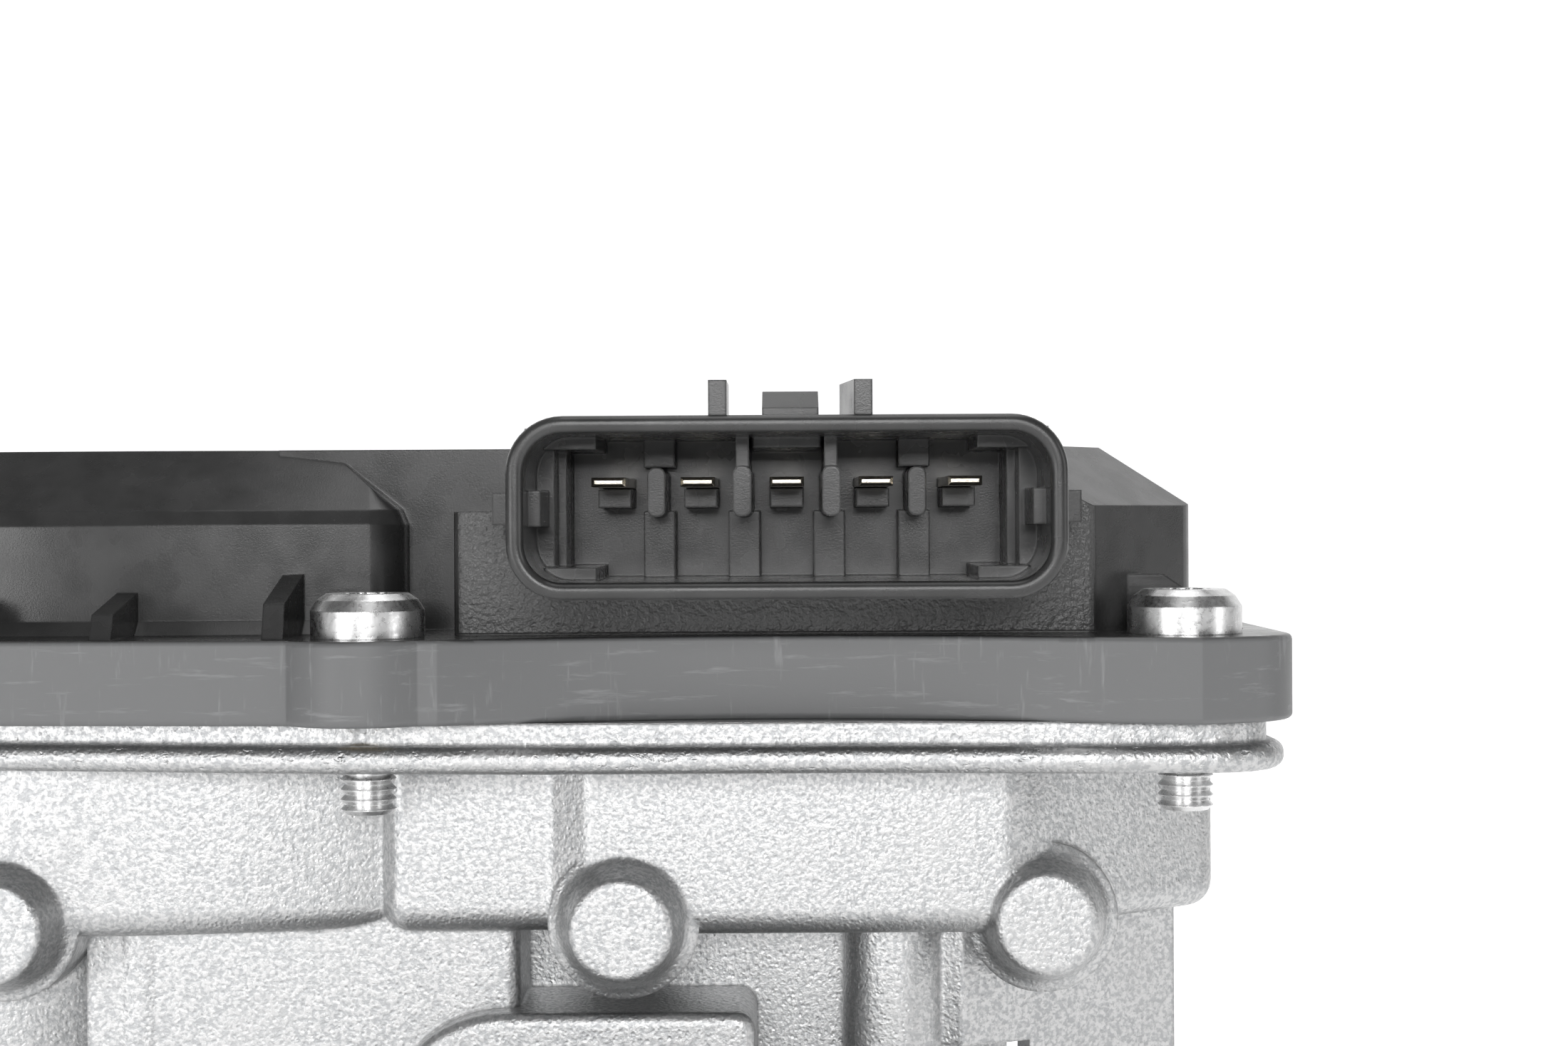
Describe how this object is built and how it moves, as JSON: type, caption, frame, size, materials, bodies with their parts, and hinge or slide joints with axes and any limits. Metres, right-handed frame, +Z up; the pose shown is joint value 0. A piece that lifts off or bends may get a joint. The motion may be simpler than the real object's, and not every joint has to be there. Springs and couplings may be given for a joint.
{
  "type": "electronic throttle body",
  "caption": "Motor-driven throttle body: cast housing with a round air bore, butterfly plate, gear train under a moulded cover and an in-line electrical socket.",
  "frame": {"origin": "centre of the manifold face, on the axis of the air bore", "axes": "+Y along the air bore towards the manifold, +Z up along the throttle shaft towards the gear cover, +X to the right when looking at the socket"},
  "size_m": [0.1238, 0.086, 0.1328],
  "materials": {
    "cast_aluminium": "as cast",
    "cover_plastic": "moulded",
    "seal_rubber": "matte",
    "plated_steel": "zinc plated",
    "plain_steel": "ground",
    "bearing_steel": "polished",
    "spring_steel": "drawn",
    "lamination_steel": "stamped",
    "brass": "turned",
    "tinned_brass": "tin plated",
    "bronze": "sintered",
    "copper": "enamelled",
    "ferrite": "sintered",
    "carbon": "pressed",
    "gear_plastic": "moulded",
    "motor_plastic": "moulded",
    "chip_plastic": "moulded"
  },
  "bodies": {
    "housing": {"throttle_housing": "cast_aluminium", "gear_cover": "cover_plastic", "cover_seal": "seal_rubber", "cover_screws": "plated_steel", "screw_sleeves": "brass", "connector_terminals": "tinned_brass", "contact_clips": "tinned_brass", "sensor_stators": "plain_steel", "sensor_chip": "chip_plastic", "idler_pin": "plain_steel", "bearing_outer_ring": "bearing_steel", "bearing_balls": "bearing_steel", "bearing_retainer": "plain_steel", "upper_shaft_seal": "seal_rubber", "lower_shaft_seal": "seal_rubber", "needle_shell": "plain_steel", "bearing_needles": "bearing_steel", "shaft_plug": "plated_steel", "return_spring": "spring_steel", "motor_can": "plated_steel", "motor_bush": "bronze", "motor_front_bush": "bronze", "motor_magnets": "ferrite", "motor_end_cap": "motor_plastic", "motor_plate": "plated_steel", "motor_blades": "tinned_brass", "motor_screws": "plated_steel", "motor_spring_washer": "spring_steel", "motor_brushes": "carbon"},
    "throttle": {"throttle_shaft": "plain_steel", "throttle_plate": "brass", "plate_screws": "plain_steel", "sector_gear": "gear_plastic", "sensor_magnets": "ferrite", "bearing_inner_ring": "bearing_steel"},
    "idler": {"idler_gear": "gear_plastic"},
    "rotor": {"motor_shaft": "plain_steel", "motor_pinion": "brass", "armature_core": "lamination_steel", "armature_windings": "copper", "commutator": "copper"}
  },
  "joints": [
    {"name": "throttle_turn", "type": "hinge", "parent": "housing", "child": "throttle", "pos_m": [0, -0.04, 0], "axis": [0, 0, -1], "range_deg": [0, 84], "stiffness_Nm_per_rad": 0.12, "springref_deg": -45.84, "deforming": ["return_spring"]},
    {"name": "idler_turn", "type": "hinge", "parent": "housing", "child": "idler", "pos_m": [-0.02792, -0.04492, 0], "axis": [0, 0, -1], "range_deg": [-325, 0]},
    {"name": "rotor_turn", "type": "hinge", "parent": "housing", "child": "rotor", "pos_m": [-0.0502, -0.04805, 0], "axis": [0, 0, -1], "range_deg": [0, 1300]}
  ],
  "couplings": [
    {"joint": "idler_turn", "follows": "throttle_turn", "ratio": -3.8462},
    {"joint": "rotor_turn", "follows": "throttle_turn", "ratio": 15.385}
  ]
}
